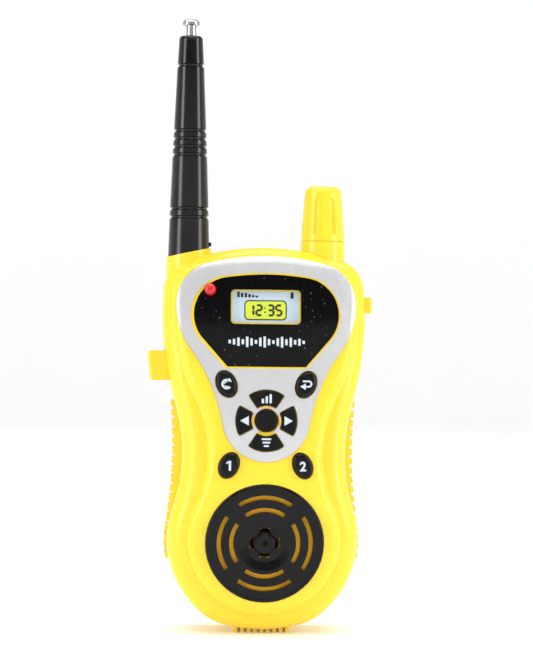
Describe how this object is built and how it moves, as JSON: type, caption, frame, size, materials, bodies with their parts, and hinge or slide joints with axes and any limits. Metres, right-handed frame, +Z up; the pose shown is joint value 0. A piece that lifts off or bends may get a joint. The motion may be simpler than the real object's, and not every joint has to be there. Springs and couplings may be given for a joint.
{
  "type": "toy walkie talkie",
  "caption": "Hand-held toy two-way radio with a domed shell, display panel, press keys, speaker grille, telescopic antenna, volume knob, talk button and belt clip.",
  "frame": {"origin": "middle of the body at the tips of the bottom ribs that it stands on", "axes": "+Z up along the antenna, front with the keys faces -Y, +X on the right of somebody who looks at the front"},
  "size_m": [0.0769, 0.0451, 0.21],
  "materials": {
    "yellow_plastic": "smooth moulded ABS, semi-gloss yellow",
    "yellow_knob": "smooth moulded yellow, semi-gloss",
    "silver_paint": "silver lacquer on plastic, fine metallic satin",
    "black_gloss": "polished black styrene",
    "black_satin": "satin black plastic",
    "display_card": "printed pale blue card",
    "lamp_red": "clear red lamp dome",
    "grey_silicone": "soft silicone",
    "plated_steel": "zinc plated",
    "speaker_film": "dark red film cone",
    "ferrite": "sintered ferrite",
    "battery_jacket": "printed steel jacket",
    "chrome": "polished nickel",
    "white_plastic": "white acetal",
    "board_green": "green solder mask",
    "radio_parts": "capacitors and coils",
    "wire_black": "insulation",
    "wire_red": "insulation",
    "wire_white": "insulation"
  },
  "bodies": {
    "case": {"front_shell": "yellow_plastic", "rear_shell": "yellow_plastic", "silver_trim": "silver_paint", "display_panel": "black_gloss", "display_card": "display_card", "indicator_lamp": "lamp_red", "keypad_mat": "grey_silicone", "speaker_grille": "black_gloss", "speaker_frame": "plated_steel", "speaker_cone": "speaker_film", "speaker_magnet": "ferrite", "battery": "battery_jacket", "battery_snap": "black_satin", "case_screws": "plated_steel", "board_screws": "plated_steel", "clip_pin": "plated_steel", "clip_spring": "plated_steel", "antenna_sleeve": "black_gloss", "antenna_tube": "chrome", "antenna_screw": "plated_steel", "antenna_lug": "plated_steel", "volume_control": "black_satin", "ptt_spring": "plated_steel", "ptt_switch": "black_satin", "power_switch": "plated_steel", "circuit_board": "board_green", "sound_chip": "black_satin", "radio_parts": "radio_parts", "battery_lead_black": "wire_black", "battery_lead_red": "wire_red", "antenna_lead": "wire_white", "speaker_leads": "wire_red", "control_leads": "wire_white", "switch_leads": "wire_white"},
    "antenna_middle": {"antenna_middle": "chrome"},
    "antenna_rod": {"antenna_rod": "chrome", "antenna_tip": "chrome"},
    "volume_knob": {"volume_knob": "yellow_knob", "volume_shaft": "white_plastic"},
    "ptt_button": {"ptt_button": "yellow_knob"},
    "power_slider": {"power_knob": "yellow_knob", "power_lever": "white_plastic"},
    "battery_door": {"battery_door": "yellow_plastic", "door_screw": "plated_steel"},
    "belt_clip": {"belt_clip": "black_satin"},
    "key_cancel": {"key_cancel": "black_gloss"},
    "key_return": {"key_return": "black_gloss"},
    "key_one": {"key_one": "black_gloss"},
    "key_two": {"key_two": "black_gloss"},
    "pad_up": {"pad_up": "black_satin"},
    "pad_down": {"pad_down": "black_satin"},
    "pad_left": {"pad_left": "black_satin"},
    "pad_right": {"pad_right": "black_satin"},
    "pad_centre": {"pad_centre": "black_satin"}
  },
  "joints": [
    {"name": "antenna_middle_slide", "type": "slide", "parent": "case", "child": "antenna_middle", "axis": [0, 0, 1], "range_m": [0, 0.07]},
    {"name": "antenna_rod_slide", "type": "slide", "parent": "antenna_middle", "child": "antenna_rod", "axis": [0, 0, 1], "range_m": [-0.003, 0.07]},
    {"name": "volume_turn", "type": "hinge", "parent": "case", "child": "volume_knob", "pos_m": [0.0202, 0.003, 0.14], "axis": [0, 0, -1], "range_deg": [0, 280]},
    {"name": "ptt_press", "type": "slide", "parent": "case", "child": "ptt_button", "axis": [1, 0, 0], "range_m": [0, 0.0016], "stiffness_N_per_m": 400, "springref_m": -0.0006, "deforming": ["ptt_spring"]},
    {"name": "power_slide", "type": "slide", "parent": "case", "child": "power_slider", "axis": [0, 0, -1], "range_m": [0, 0.003]},
    {"name": "battery_door_release", "type": "slide", "parent": "case", "child": "battery_door", "axis": [0, 1, 0], "range_m": [0, 0.014]},
    {"name": "belt_clip_open", "type": "hinge", "parent": "case", "child": "belt_clip", "pos_m": [0, 0.0212, 0.113], "axis": [1, 0, 0], "range_deg": [0, 16], "stiffness_Nm_per_rad": 0.12, "springref_deg": -6.88},
    {"name": "key_cancel_press", "type": "slide", "parent": "case", "child": "key_cancel", "axis": [0, 1, 0], "range_m": [0, 0.0008], "stiffness_N_per_m": 300, "springref_m": -0.0006},
    {"name": "key_return_press", "type": "slide", "parent": "case", "child": "key_return", "axis": [0, 1, 0], "range_m": [0, 0.0008], "stiffness_N_per_m": 300, "springref_m": -0.0006},
    {"name": "key_one_press", "type": "slide", "parent": "case", "child": "key_one", "axis": [0, 1, 0], "range_m": [0, 0.0008], "stiffness_N_per_m": 300, "springref_m": -0.0006},
    {"name": "key_two_press", "type": "slide", "parent": "case", "child": "key_two", "axis": [0, 1, 0], "range_m": [0, 0.0008], "stiffness_N_per_m": 300, "springref_m": -0.0006},
    {"name": "pad_up_press", "type": "slide", "parent": "case", "child": "pad_up", "axis": [0, 1, 0], "range_m": [0, 0.0008], "stiffness_N_per_m": 300, "springref_m": -0.0006},
    {"name": "pad_down_press", "type": "slide", "parent": "case", "child": "pad_down", "axis": [0, 1, 0], "range_m": [0, 0.0008], "stiffness_N_per_m": 300, "springref_m": -0.0006},
    {"name": "pad_left_press", "type": "slide", "parent": "case", "child": "pad_left", "axis": [0, 1, 0], "range_m": [0, 0.0008], "stiffness_N_per_m": 300, "springref_m": -0.0006},
    {"name": "pad_right_press", "type": "slide", "parent": "case", "child": "pad_right", "axis": [0, 1, 0], "range_m": [0, 0.0008], "stiffness_N_per_m": 300, "springref_m": -0.0006},
    {"name": "pad_centre_press", "type": "slide", "parent": "case", "child": "pad_centre", "axis": [0, 1, 0], "range_m": [0, 0.0008], "stiffness_N_per_m": 300, "springref_m": -0.0006}
  ]
}
